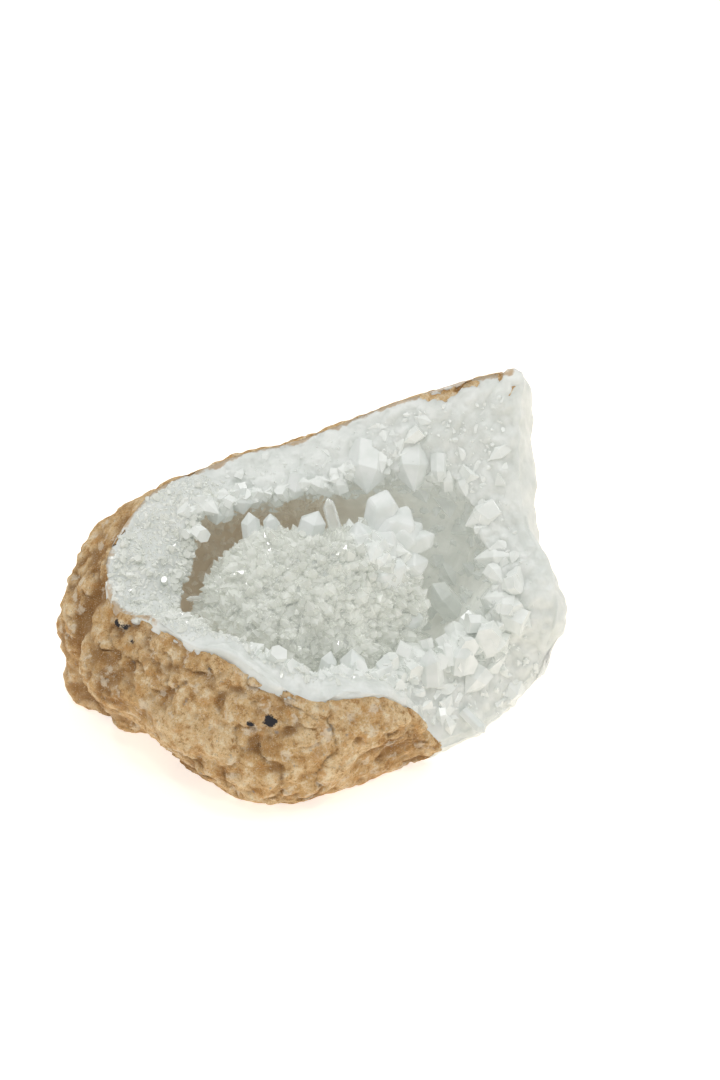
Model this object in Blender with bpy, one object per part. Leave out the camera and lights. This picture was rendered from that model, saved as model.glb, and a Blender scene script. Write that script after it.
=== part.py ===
"""Half of a broken quartz geode, lying open on a shelf.

The stone is a lumpy nodule that was broken across, not sawn. It has a thin sandy rind, a thick
wall of white quartz with a rough broken face, a hollow that runs back under the broken face,
and a big mound of drusy quartz standing in the hollow. Larger quartz points stand on the wall
and on the mound. At the right the rind has flaked off and the quartz is bare.

Frame: +Z up, millimetres in the tables and metres in Blender. The origin is on the shelf under
the middle of the stone. +X runs along the stone's length, and the hollow opens up and to -Y.
"""

from collections import namedtuple
from math import cos, pi, sin

import bmesh
import bpy
import numpy as np

MM = 0.001

# Driving dimensions, in mm.
RIND = 2.0  # thickness of the sandy skin
GAP = 0.3  # clearance between pieces that touch
AXIS = np.array([0.0, 2.0])  # x, y of the upright line that every section starts from
SOLE = 2.5  # how far the rounded underside would reach below the shelf, before it is worn flat
FLOOR = 9.5  # height of the hollow's floor above the shelf
SHIFT = np.array([-0.03, -0.98, 0.0])  # moves the tables' origin to the middle of the base

COLUMNS_PER_SECTION = 2
RIND_SECTIONS = (6, 26)  # the rind runs from this section to this one. The rest is bare quartz
OUTER_RINGS = 13
FACE_RINGS = 3
HOLLOW_RINGS = 8

# One upright section through the stone's wall at each place round the rim, anticlockwise from +X.
# rim: x, y, z of the outer edge of the broken face.
# belly: how far the outside bulges past the rim, at what height, and the foot's share of it.
# mouth: how far the hollow's edge lies inside the rim, and its height.
# cave: how far the hollow undercuts its edge, and at what height it is widest.
Section = namedtuple("Section", "rim belly mouth cave")
SECTIONS = (
    Section((54.8, 1.0, 28.8), (0.0, 20.0, 0.78), (13.4, 30.0), (0.5, 24.0)),
    Section((53.2, 7.2, 35.4), (0.6, 22.0, 0.76), (12.1, 34.0), (0.5, 26.0)),
    Section((48.4, 13.2, 40.4), (2.0, 24.0, 0.75), (9.7, 38.0), (1.5, 28.0)),
    Section((46.2, 20.0, 51.2), (1.5, 30.0, 0.74), (10.5, 43.0), (3.0, 30.0)),
    Section((46.6, 28.0, 64.7), (-1.0, 38.0, 0.72), (15.6, 47.0), (5.0, 32.0)),
    Section((47.4, 31.0, 70.2), (-2.5, 42.0, 0.71), (18.0, 48.5), (6.0, 33.0)),
    Section((41.5, 33.0, 68.6), (0.5, 38.0, 0.70), (18.0, 49.5), (7.0, 33.0)),
    Section((31.0, 33.0, 65.8), (3.5, 33.0, 0.70), (16.5, 50.5), (8.5, 33.0)),
    Section((19.7, 32.0, 62.4), (6.5, 28.0, 0.70), (13.5, 50.5), (10.0, 32.0)),
    Section((7.2, 31.0, 57.0), (9.5, 26.0, 0.70), (12.0, 49.0), (12.5, 30.0)),
    Section((-3.0, 29.0, 54.2), (11.5, 25.0, 0.70), (11.0, 47.7), (13.5, 29.0)),
    Section((-13.0, 27.0, 52.0), (12.5, 26.0, 0.70), (10.7, 46.5), (14.5, 28.0)),
    Section((-23.4, 24.0, 50.1), (12.5, 28.0, 0.72), (11.0, 45.7), (14.0, 28.0)),
    Section((-36.6, 17.0, 47.2), (13.0, 31.0, 0.78), (13.0, 46.0), (14.0, 27.0)),
    Section((-44.1, 8.0, 41.5), (11.2, 26.0, 0.84), (18.0, 40.0), (17.5, 25.0)),
    Section((-46.2, -1.0, 37.6), (8.0, 20.0, 0.89), (18.0, 34.5), (15.5, 23.0)),
    Section((-42.5, -9.0, 32.4), (6.0, 16.0, 0.88), (14.0, 31.0), (9.5, 21.0)),
    Section((-34.9, -15.0, 35.2), (8.0, 17.0, 0.77), (10.0, 32.0), (8.5, 21.0)),
    Section((-25.4, -24.0, 34.2), (8.5, 14.0, 0.84), (8.3, 32.5), (7.5, 20.5)),
    Section((-17.5, -27.0, 35.0), (10.0, 11.0, 0.88), (7.6, 32.5), (7.5, 20.0)),
    Section((-10.2, -31.0, 31.3), (8.5, 10.0, 0.89), (9.0, 30.0), (6.0, 19.0)),
    Section((0.6, -32.0, 24.7), (6.5, 10.0, 0.88), (9.5, 26.0), (4.0, 18.0)),
    Section((7.4, -30.0, 26.1), (5.5, 10.0, 0.87), (9.8, 25.0), (3.5, 17.0)),
    Section((16.0, -28.0, 23.8), (2.5, 11.0, 0.82), (11.5, 23.0), (2.5, 16.0)),
    Section((21.5, -25.0, 18.1), (1.5, 9.0, 0.84), (10.5, 22.0), (1.0, 15.0)),
    Section((25.0, -23.8, 12.2), (1.0, 6.5, 0.86), (11.2, 21.7), (0.5, 14.5)),
    Section((28.2, -21.5, 6.5), (0.5, 4.0, 0.88), (12.0, 21.5), (0.0, 14.0)),
    Section((37.4, -14.0, 5.2), (0.0, 3.2, 0.86), (11.4, 21.7), (0.0, 14.0)),
    Section((44.0, -6.5, 7.5), (0.0, 4.5, 0.84), (9.4, 22.5), (0.0, 15.0)),
    Section((50.4, -3.0, 12.6), (-0.5, 8.5, 0.80), (12.2, 23.5), (0.0, 17.0)),
    Section((53.2, -2.0, 20.2), (-0.5, 14.0, 0.78), (13.0, 27.0), (0.5, 21.0)),
)

# Swellings (+) and dents (-) of the outside: where, how wide and how high.
Lump = namedtuple("Lump", "x y z radius height")
OUTER_LUMPS = (
    Lump(-48.0, -8.0, 32.0, 5.0, -2.0),  # the crease between the left lobe and the front
    Lump(-50.0, -8.5, 24.0, 5.5, -3.8),
    Lump(-49.5, -9.0, 14.0, 6.0, -4.2),
    Lump(-46.0, -9.5, 4.0, 6.0, -4.0),
    Lump(-44.0, -17.0, 18.0, 7.0, 2.5),
    Lump(-30.0, -33.0, 15.0, 9.0, 1.0),
    Lump(-14.0, -39.0, 9.0, 10.0, 1.2),
    Lump(4.0, -35.0, 20.0, 8.0, 1.0),
    Lump(15.0, -29.0, 8.0, 8.0, -1.2),
    Lump(-55.0, 6.0, 20.0, 12.0, 0.6),
    Lump(-35.0, 33.0, 30.0, 12.0, 1.6),
    Lump(-10.0, 41.0, 22.0, 12.0, 1.2),
    Lump(14.0, 41.0, 38.0, 10.0, 1.4),
    Lump(36.0, 36.0, 30.0, 12.0, 1.8),
    Lump(50.0, 14.0, 18.0, 9.0, -1.5),
)

# The mound of druse: an ellipsoid with lumps, standing on the hollow's floor.
MOUND_CENTRE = (-0.6, 3.0, 19.0)
MOUND_RADII = (24.6, 18.0, 24.5)
MOUND_FOOT = 5.5
MOUND_RINGS = 17
MOUND_COLUMNS = 36
MOUND_LUMPS = (
    Lump(16.0, 10.0, 40.0, 9.0, 3.0),  # under the cap of coarse crystals
    Lump(23.0, 4.0, 28.0, 8.0, 1.5),
    Lump(-15.0, 10.0, 38.0, 8.0, 2.0),
    Lump(-2.0, 8.0, 43.0, 6.0, -2.0),
    Lump(-24.0, 0.0, 26.0, 7.0, 1.5),
    Lump(3.0, -10.0, 36.0, 9.0, 1.0),
    Lump(-10.0, -12.0, 28.0, 9.0, 1.0),
)

# The larger crystals: root and tip in mm, and the width across the prism.
Crystal = namedtuple("Crystal", "name root tip width")
WALL_CRYSTALS = (
    Crystal("roof_point_left", (12.3, 26.5, 53.0), (11.5, 17.6, 46.9), 7.2),
    Crystal("roof_point_right", (22.6, 27.0, 53.4), (23.0, 18.6, 46.9), 7.4),
    Crystal("roof_point_small", (28.4, 24.6, 51.2), (28.3, 19.2, 48.2), 3.4),
    Crystal("roof_block_left", (-22.2, 16.6, 44.4), (-21.2, 12.6, 41.0), 4.4),
    Crystal("roof_block_middle", (-16.0, 18.4, 46.6), (-15.2, 14.4, 42.8), 4.6),
    Crystal("roof_block_right", (-3.0, 20.6, 49.4), (-4.2, 16.6, 45.4), 4.2),
    Crystal("hanging_prism", (-19.0, 20.4, 44.4), (-19.3, 16.6, 39.4), 2.2),
    Crystal("wall_crystal_high", (41.5, 17.0, 43.0), (34.4, 14.0, 39.5), 6.4),
    Crystal("wall_crystal_middle", (44.5, 10.0, 34.0), (36.2, 8.8, 34.6), 7.0),
    Crystal("wall_crystal_low", (45.0, 2.0, 27.0), (38.0, 1.4, 29.6), 6.0),
    Crystal("wall_crystal_front", (40.5, -5.5, 20.0), (37.4, -4.2, 26.4), 5.4),
    Crystal("wall_crystal_behind", (33.0, 17.0, 14.0), (26.6, 12.0, 25.6), 6.2),
    Crystal("lip_crystal_left", (3.0, -20.2, 22.0), (4.6, -17.8, 28.2), 3.8),
    Crystal("lip_crystal_middle", (9.4, -19.4, 20.5), (8.6, -16.4, 27.8), 5.6),
    Crystal("lip_crystal_right", (15.4, -17.6, 19.0), (16.4, -15.0, 25.6), 4.4),
    Crystal("lip_crystal_corner", (26.4, -13.6, 16.5), (25.8, -11.8, 25.0), 5.4),
    Crystal("lip_crystal_end", (32.6, -10.4, 17.0), (33.4, -9.0, 24.0), 4.2),
    Crystal("front_crystal", (33.6, -14.6, 9.6), (38.4, -19.2, 6.8), 2.6),
)
MOUND_CRYSTALS = (
    Crystal("clear_prism", (6.2, 9.4, 38.6), (3.2, 13.8, 47.8), 3.0),
    Crystal("block_middle", (-2.0, 8.4, 36.0), (1.0, 12.6, 45.2), 6.0),
    Crystal("block_left", (-13.0, 8.4, 37.0), (-14.2, 12.2, 45.0), 4.4),
    Crystal("block_left_small", (-8.6, 8.0, 36.0), (-9.4, 12.0, 44.8), 3.6),
    Crystal("block_right", (15.5, 0.5, 23.0), (25.0, -3.6, 26.8), 5.2),
    Crystal("needle", (-19.0, 3.2, 28.2), (-28.4, 1.0, 29.0), 1.4),
    Crystal("needle_short", (-19.0, 0.6, 25.4), (-27.6, -0.6, 26.0), 1.8),
)
# The cap is one cluster of crystals that grew into each other.
CAP = (
    Crystal("cap_top", (13.6, 10.6, 39.0), (16.4, 15.0, 49.8), 8.6),
    Crystal("cap_back", (16.6, 9.4, 38.0), (21.4, 14.4, 48.2), 8.4),
    Crystal("cap_side", (15.4, 8.0, 38.0), (25.0, 12.0, 45.0), 8.0),
    Crystal("cap_right", (15.6, 8.0, 37.0), (27.2, 8.6, 41.8), 8.0),
    Crystal("cap_low", (15.0, 6.0, 34.6), (26.2, 5.0, 36.8), 7.6),
    Crystal("cap_left", (12.4, 8.4, 37.0), (11.2, 9.6, 46.8), 6.0),
    Crystal("cap_middle", (14.0, 7.0, 36.0), (17.6, 5.4, 44.6), 8.2),
    Crystal("cap_front", (13.0, 5.0, 34.0), (14.6, 1.2, 44.0), 7.4),
)


def swell(points):
    """Low uneven swelling, in mm: a sum of slow waves across space."""
    x, y, z = np.moveaxis(points, -1, 0)
    return (
        0.55 * np.sin(0.21 * x + 0.13 * y + 1.1)
        + 0.45 * np.sin(0.29 * y - 0.17 * z + 2.3)
        + 0.40 * np.sin(0.33 * z + 0.11 * x + 0.4)
        + 0.25 * np.sin(0.47 * x - 0.38 * z + 3.0)
    )


def lumps_at(points, lumps):
    """Height of all the lumps at these points: each fades with the square of distance."""
    total = np.zeros(points.shape[:-1])
    for lump in lumps:
        away = ((points - np.array(lump[:3])) ** 2).sum(axis=-1)
        total += lump.height * np.exp(-away / lump.radius**2)
    return total


def smooth_through(stops, at, closed=False):
    """Catmull-Rom curves through stops, one for every column, at positions counted in stops."""
    stops = np.asarray(stops, float)
    count, width = stops.shape[:2]
    at = np.broadcast_to(at, (len(at), width))
    start = np.minimum(np.floor(at).astype(int), count - (1 if closed else 2))
    t = (at - start).reshape(at.shape + (1,) * (stops.ndim - 2))
    places = [start + k for k in (-1, 0, 1, 2)]
    if closed:
        places = [place % count for place in places]
    column = np.arange(width)
    a, b, c, d = (stops[np.clip(place, 0, count - 1), column] for place in places)
    bend = (3 * b - a - 3 * c + d) * t**3 + (2 * a - 5 * b + 4 * c - d) * t**2
    return 0.5 * (bend + (c - a) * t + 2 * b)


def columns(field):
    """One field of the section table, smoothed to every column round the stone."""
    at = np.arange(0, len(SECTIONS), 1 / COLUMNS_PER_SECTION)[:, None]
    stops = np.array([getattr(s, field) for s in SECTIONS], float)
    return smooth_through(stops.reshape(len(SECTIONS), -1), at, closed=True)


def spokes():
    """For every column, the level direction from the axis to the rim, and how far it is."""
    spoke = columns("rim")[:, :2] - AXIS
    reach = np.linalg.norm(spoke, axis=1)
    return spoke / reach[:, None], reach


def on_spoke(radius, height):
    """Points at this radius from the axis and this height, one on every column."""
    spoke, reach = spokes()
    flat = AXIS + spoke * np.broadcast_to(radius, reach.shape)[:, None]
    return np.column_stack([flat, np.broadcast_to(height, reach.shape)])


def grid_normals(rings):
    """Unit normals of rings of points that run anticlockwise, and up on the outside."""
    around = np.roll(rings, -1, axis=1) - np.roll(rings, 1, axis=1)
    normals = np.cross(around, np.gradient(rings, axis=0))
    for pole, beside in ((0, 1), (-1, -2)):
        if np.allclose(rings[pole], rings[pole, 0]):
            normals[pole] = normals[beside].mean(axis=0)
    return normals / np.linalg.norm(normals, axis=-1, keepdims=True)


def outside():
    """Rings of the outside from the middle of the base to the rim, and the level way inwards."""
    _, reach = spokes()
    rim, belly = columns("rim"), columns("belly")
    bulge = reach + belly[:, 0]
    foot = bulge * belly[:, 2]
    shoulder = (reach + bulge) / 2 + 0.13 * (rim[:, 2] - belly[:, 1])
    stops = [
        on_spoke(0.0, -SOLE),
        on_spoke(0.55 * foot, -SOLE),
        on_spoke(foot, -0.4),
        on_spoke(bulge, belly[:, 1]),
        on_spoke(shoulder, (rim[:, 2] + belly[:, 1]) / 2),
        rim,
    ]
    last = len(stops) - 1
    at = np.linspace(0, last, OUTER_RINGS)[:, None]
    rings = smooth_through(stops, at)
    normals = grid_normals(rings)
    fade = 0.35 + 0.65 * np.clip((last - at) / 0.8, 0.0, 1.0)
    fade = fade * np.clip(rim[:, 2] / 25.0, 0.1, 1.0)
    height = (swell(rings) + lumps_at(rings, OUTER_LUMPS)) * fade
    rings = rings + normals * height[..., None]
    rings[..., 2] = np.maximum(rings[..., 2], 0.0)
    outwards = normals + 0.6 * (on_spoke(1.0, 0.0) - on_spoke(0.0, 0.0))
    outwards[..., 2] = 0.0
    outwards /= np.linalg.norm(outwards, axis=-1, keepdims=True)
    radius = np.linalg.norm(rings[..., :2] - AXIS, axis=-1)
    return rings, -outwards * np.clip(radius / 12.0, 0.0, 1.0)[..., None]


def sunk(rings, inwards, depth):
    """The same rings, this far inside the stone, and as far above the shelf."""
    deep = rings + inwards * np.reshape(depth, (-1, 1))
    deep[..., 2] = np.maximum(deep[..., 2], depth)
    return deep


def broken_face(edge, lip):
    """Rings of the broken face between its outer edge and the lip of the hollow."""
    middle = (edge + lip) / 2 + np.array([0.0, 0.0, 0.8])
    at = np.linspace(0, 2, FACE_RINGS + 2)[1:-1, None]
    face = smooth_through([edge, middle, lip], at)
    face[..., 2] += 0.6 * swell(face * 1.7)
    return face


def hollow(lip, lip_reach):
    """Rings of the hollow from its lip to the middle of its floor."""
    cave = columns("cave")
    widest = lip_reach + cave[:, 0]
    stops = [
        lip,
        on_spoke(widest, cave[:, 1]),
        on_spoke(0.72 * widest, FLOOR + 2.0),
        on_spoke(0.0, FLOOR),
    ]
    at = np.linspace(0, len(stops) - 1, HOLLOW_RINGS)[:, None]
    rings = smooth_through(stops, at)
    rough = 0.5 * np.sin(pi * at / at[-1]) * swell(rings * 1.9)
    return rings - grid_normals(rings) * rough[..., None]


def grid_faces(bm, rows, closed):
    """Faces between rows of vertices, leaving out repeated corners where a row is one point."""
    count = len(rows[0])
    for low, high in zip(rows, rows[1:]):
        for k in range(count if closed else count - 1):
            after = (k + 1) % count
            corners = dict.fromkeys((low[k], low[after], high[after], high[k]))
            if len(corners) > 2:
                bm.faces.new(corners)


def grid_vertices(bm, rings):
    """Vertices for rings of points. A ring that is all one point shares one vertex."""
    rows = []
    for ring in (rings + SHIFT) * MM:
        single = np.allclose(ring, ring[0], atol=1e-7)
        made = [bm.verts.new(point) for point in (ring[:1] if single else ring)]
        rows.append(made * len(ring) if single else made)
    return rows


def closed_mesh(name, rings):
    """A closed mesh through rings of points, the first and last of which are single points."""
    bm = bmesh.new()
    grid_faces(bm, grid_vertices(bm, rings), closed=True)
    return finished(name, bm)


def finished(name, bm):
    """The mesh of a closed bmesh, in triangles."""
    bmesh.ops.triangulate(bm, faces=bm.faces[:])
    mesh = bpy.data.meshes.new(name)
    bm.to_mesh(mesh)
    bm.free()
    return mesh


def rind_mesh():
    """The sandy skin: part of the outside, and the same one thickness in, closed at the edges."""
    first, last = (section * COLUMNS_PER_SECTION for section in RIND_SECTIONS)
    rings, inwards = outside()
    inner = sunk(rings, inwards, RIND)
    bm = bmesh.new()
    skin = grid_vertices(bm, np.concatenate([rings, inner[::-1]])[:, first : last + 1])
    grid_faces(bm, skin, closed=False)
    for low, high, deep_high, deep_low in zip(skin, skin[1:OUTER_RINGS], skin[-2::-1], skin[::-1]):
        bm.faces.new((low[0], high[0], deep_high[0], deep_low[0]))
        bm.faces.new((low[-1], deep_low[-1], deep_high[-1], high[-1]))
    return finished("rind", bm)


def wall_mesh(name, grown):
    """The quartz wall, or the same with its free side grown outwards.

    It lies one gap inside the rind, and reaches the stone's outside where there is none.
    """
    rings, inwards = outside()
    section = np.arange(rings.shape[1]) / COLUMNS_PER_SECTION
    covered = (section >= RIND_SECTIONS[0]) & (section <= RIND_SECTIONS[1])
    outer = sunk(rings, inwards, (RIND + GAP) * covered)
    _, reach = spokes()
    mouth = columns("mouth")
    lip_reach = reach - mouth[:, 0]
    lip = on_spoke(lip_reach, mouth[:, 1])
    free = [outer[-1:], broken_face(outer[-1], lip), hollow(lip, lip_reach)]
    free = np.concatenate(free)
    free = free + grid_normals(free) * grown
    return closed_mesh(name, np.concatenate([outer[:-1], free]))


def mound_mesh(name, grown):
    """The mound, or the same grown outwards. Its rings run from its foot up to its top."""
    turn = np.linspace(0, 2 * pi, MOUND_COLUMNS, endpoint=False)
    rise = np.linspace(-pi / 2, pi / 2, MOUND_RINGS)[:, None]
    way = np.stack(np.broadcast_arrays(
        np.cos(rise) * np.cos(turn), np.cos(rise) * np.sin(turn), np.sin(rise)), axis=-1)
    rings = np.array(MOUND_CENTRE) + way * np.array(MOUND_RADII)
    height = lumps_at(rings, MOUND_LUMPS) + 0.5 * swell(rings * 1.6)
    rings = rings + way * (height + grown)[..., None]
    rings[..., 2] = np.maximum(rings[..., 2], MOUND_FOOT)
    return closed_mesh(name, rings)


def point_mesh(crystal):
    """A six-sided prism that tapers a little to a six-faced point with uneven shoulders."""
    root, tip = np.array(crystal.root) + SHIFT, np.array(crystal.tip) + SHIFT
    axis = (tip - root) / np.linalg.norm(tip - root)
    side = np.cross(axis, (0.3, -0.5, 0.8))
    side /= np.linalg.norm(side)
    other = np.cross(axis, side)
    bm = bmesh.new()
    foot, shoulder = [], []
    for k in range(6):
        ray = (side * cos(pi * k / 3) + other * sin(pi * k / 3)) * crystal.width
        drop = axis * crystal.width * (0.62 if k % 2 else 0.50)
        foot.append(bm.verts.new((root + 0.50 * ray) * MM))
        shoulder.append(bm.verts.new((tip - drop + 0.46 * ray) * MM))
    peak = bm.verts.new((tip + 0.06 * crystal.width * side) * MM)
    bm.faces.new(foot[::-1])
    for k in range(6):
        after = (k + 1) % 6
        bm.faces.new((foot[k], foot[after], shoulder[after], shoulder[k]))
        bm.faces.new((shoulder[k], shoulder[after], peak))
    return finished(crystal.name, bm)


def material(name, colour, roughness):
    """A plain Principled material."""
    made = bpy.data.materials.new(name)
    made.use_nodes = True
    shader = made.node_tree.nodes["Principled BSDF"]
    shader.inputs["Base Color"].default_value = (*colour, 1.0)
    shader.inputs["Roughness"].default_value = roughness
    shader.inputs["Metallic"].default_value = 0.0
    return made


def place(name, mesh, look):
    """Puts the mesh in the scene as a named piece with its material."""
    piece = bpy.data.objects.new(name, mesh)
    mesh.materials.append(look)
    bpy.context.scene.collection.objects.link(piece)
    return piece


def helper(name, mesh):
    """A hidden shape that only cuts or adds to others."""
    piece = bpy.data.objects.new(name, mesh)
    bpy.context.scene.collection.objects.link(piece)
    piece.hide_render = True
    piece.display_type = "WIRE"
    return piece


def combine(piece, operation, other):
    """Adds the other shape to the piece, or takes its space out of the piece."""
    boolean = piece.modifiers.new(operation.lower() + " " + other.name, "BOOLEAN")
    boolean.operation = operation
    boolean.solver = "EXACT"
    boolean.object = other


def build():
    for old in list(bpy.data.objects):
        bpy.data.objects.remove(old, do_unlink=True)
    sand = material("sandy rind", (0.44, 0.29, 0.14), 0.95)
    milky = material("milky quartz", (0.66, 0.69, 0.65), 0.45)
    druse = material("drusy quartz", (0.60, 0.62, 0.56), 0.25)
    clear = material("clear quartz", (0.70, 0.73, 0.70), 0.10)

    place("quartz_wall", wall_mesh("quartz_wall", 0.0), milky)
    wall_room = helper("wall_room", wall_mesh("wall_room", GAP))
    mound_room = helper("mound_room", mound_mesh("mound_room", GAP))

    place("rind", rind_mesh(), sand)
    mound = place("druse_mound", mound_mesh("druse_mound", 0.0), druse)
    combine(mound, "DIFFERENCE", wall_room)
    for crystal in WALL_CRYSTALS:
        combine(place(crystal.name, point_mesh(crystal), clear), "DIFFERENCE", wall_room)
    for crystal in MOUND_CRYSTALS:
        combine(place(crystal.name, point_mesh(crystal), clear), "DIFFERENCE", mound_room)
    cap = place("cap_crystals", point_mesh(CAP[0]), clear)
    for crystal in CAP[1:]:
        combine(cap, "UNION", helper(crystal.name, point_mesh(crystal)))
    combine(cap, "DIFFERENCE", mound_room)


build()
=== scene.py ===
"""Half of a broken quartz geode, lying open on a pale floor.

The stone's surfaces are worked out in millimetres, in tables whose origin is near the middle of
the base, and moved to the frame's own origin and to metres as each mesh is made. Wherever a
function speaks of a place on the stone, `s` counts the upright sections round the rim
anticlockwise from +X, and `v` runs along a section: 0 is the middle of the base, 5 the rim,
6 the lip of the hollow and 9 the middle of the hollow's floor.
"""

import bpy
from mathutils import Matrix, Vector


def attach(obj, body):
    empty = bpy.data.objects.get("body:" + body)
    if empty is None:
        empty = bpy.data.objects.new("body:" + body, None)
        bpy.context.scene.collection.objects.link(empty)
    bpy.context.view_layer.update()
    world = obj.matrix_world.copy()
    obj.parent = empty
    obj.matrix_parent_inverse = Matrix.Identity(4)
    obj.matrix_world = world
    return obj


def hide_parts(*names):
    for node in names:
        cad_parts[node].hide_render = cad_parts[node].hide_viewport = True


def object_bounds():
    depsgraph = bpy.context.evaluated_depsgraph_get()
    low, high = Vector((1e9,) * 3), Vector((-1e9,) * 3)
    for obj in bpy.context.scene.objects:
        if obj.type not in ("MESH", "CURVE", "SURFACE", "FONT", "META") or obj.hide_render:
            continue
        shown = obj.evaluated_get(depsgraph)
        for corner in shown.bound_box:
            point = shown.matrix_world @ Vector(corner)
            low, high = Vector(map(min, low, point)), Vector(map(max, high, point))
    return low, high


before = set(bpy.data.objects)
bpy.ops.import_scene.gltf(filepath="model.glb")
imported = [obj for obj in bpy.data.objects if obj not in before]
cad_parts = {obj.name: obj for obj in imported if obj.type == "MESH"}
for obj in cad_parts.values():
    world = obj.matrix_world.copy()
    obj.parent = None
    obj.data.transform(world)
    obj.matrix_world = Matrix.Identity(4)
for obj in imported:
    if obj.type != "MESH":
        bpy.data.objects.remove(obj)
cad_box = [list(corner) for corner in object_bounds()]  # before any piece is added

from math import cos, pi, radians, sin

import bpy
import numpy as np
from mathutils import Vector

# ---- Camera ----
# It stands in front of the stone and above it, and looks down into the hollow through a
# long lens. It is aimed a little to the right of the stone's middle.
LOOK_DOWN = radians(33)
DISTANCE = 0.560
middle = np.mean(cad_box, axis=0)
aim = middle + (0.0106, -0.001, 0.0103)
camera = bpy.data.objects.new("camera", bpy.data.cameras.new("camera"))
camera.location = aim + DISTANCE * np.array([0.0, -cos(LOOK_DOWN), sin(LOOK_DOWN)])
camera.rotation_euler = (pi / 2 - LOOK_DOWN, 0.0, 0.0)
camera.data.lens = 85.0
camera.data.sensor_width = 36.0
camera.data.clip_start = 0.01
bpy.context.scene.collection.objects.link(camera)
bpy.context.scene.camera = camera

# ---- Floor and light ----
# A plain white floor, white light from all round, one wide soft light from above and behind
# at the right, and three small ones that make the crystal faces glint.
bpy.context.scene.view_settings.view_transform = "Standard"
sky = bpy.data.worlds.new("white studio")
sky.use_nodes = True
sky.node_tree.nodes["Background"].inputs["Color"].default_value = (1.0, 1.0, 1.0, 1.0)
sky.node_tree.nodes["Background"].inputs["Strength"].default_value = 0.58
bpy.context.scene.world = sky


def lamp(name, place, size, watts):
    """A square soft light at this place, turned to the stone, with its side in metres."""
    made = bpy.data.objects.new(name, bpy.data.lights.new(name, "AREA"))
    made.location = place
    made.data.size = size
    made.data.energy = watts
    toward = Vector(aim) - made.location
    made.rotation_euler = toward.to_track_quat("-Z", "Y").to_euler()
    bpy.context.scene.collection.objects.link(made)


lamp("soft_light", (0.15, 0.20, 0.85), size=0.70, watts=1.1)
lamp("glint_left", (-0.32, 0.12, 0.62), size=0.09, watts=0.62)
lamp("glint_right", (0.40, -0.05, 0.58), size=0.09, watts=0.46)
lamp("glint_front", (-0.05, -0.30, 0.72), size=0.09, watts=0.46)


class Shade:
    """A socket of a material's nodes. Arithmetic on it adds Math nodes, add() any other node."""

    def __init__(self, tree, socket=None):
        self.tree, self.socket = tree, socket

    def add(self, kind, settings=(), sockets=(), out=0):
        """Adds a node: its type, its settings, then the values or links of its sockets."""
        node = self.tree.nodes.new("ShaderNode" + kind)
        for name, value in dict(settings).items():
            setattr(node, name, value)
        for name, value in dict(sockets).items():
            if isinstance(value, Shade):
                self.tree.links.new(value.socket, node.inputs[name])
            else:
                node.inputs[name].default_value = value
        return Shade(self.tree, node.outputs[out])

    def math(self, operation, first, second):
        return self.add("Math", {"operation": operation}, {0: first, 1: second})

    def __add__(self, other):
        return self.math("ADD", self, other)

    def __sub__(self, other):
        return self.math("SUBTRACT", self, other)

    def __rsub__(self, other):
        return self.math("SUBTRACT", other, self)

    def __mul__(self, other):
        return self.math("MULTIPLY", self, other)

    __radd__, __rmul__ = __add__, __mul__

    def step(self, low, high):
        """A mask that rises smoothly from 0 at low to 1 at high."""
        sockets = {"Value": self, "From Min": low, "From Max": high}
        return self.add("MapRange", {"interpolation_type": "SMOOTHSTEP"}, sockets)

    def tint(self, below, above):
        """A colour that goes from below to above as this mask goes from 0 to 1."""
        ends = [end if isinstance(end, Shade) else (*end, 1.0) for end in (below, above)]
        return self.add("Mix", {"data_type": "RGBA"}, {0: self, 6: ends[0], 7: ends[1]}, out=2)

    def noise(self, per_mm, detail=2.0, rough=0.5):
        """Soft noise from 0 to 1 at this place, with this many features to the millimetre."""
        sockets = {"Vector": self, "Scale": per_mm * 1000, "Detail": detail, "Roughness": rough}
        return self.add("TexNoise", {}, sockets)

    def cells(self, per_mm):
        """Distance from this place to the nearest of many scattered points."""
        return self.add("TexVoronoi", {}, {"Vector": self, "Scale": per_mm * 1000})


def look(name):
    """A new material's nodes without its shader: its tree, and the place on the object."""
    made = bpy.data.materials.new(name)
    made.use_nodes = True
    place = Shade(made.node_tree).add("TexCoord", out=3)
    return made, place


def shade_with(made, sockets):
    """Sets the material's Principled shader: plain numbers, colours or links."""
    shader = made.node_tree.nodes["Principled BSDF"]
    for name, value in sockets.items():
        if isinstance(value, Shade):
            made.node_tree.links.new(value.socket, shader.inputs[name])
        else:
            shader.inputs[name].default_value = value


floor_look, place = look("pale floor")
shade_with(floor_look, {
    "Base Color": (0.88, 0.78, 0.66, 1.0),
    "Roughness": 0.9,
    "Emission Color": (1.0, 0.99, 0.97, 1.0),
    "Emission Strength": 0.62,
})
floor = bpy.data.objects.new("floor", bpy.data.meshes.new("floor"))
floor.data.from_pydata([(-6, -6, 0), (6, -6, 0), (6, 6, 0), (-6, 6, 0)], [], [(0, 1, 2, 3)])
floor.data.materials.append(floor_look)
bpy.context.scene.collection.objects.link(floor)

# ---- Rind ----
# The sandy skin of the nodule: a tan crust of weathered rock, lumpy, pitted and creased, with
# pale grains and a few black spots of manganese. It grew on the quartz and has flaked off
# at the right end and in scallops along the rim.

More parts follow.
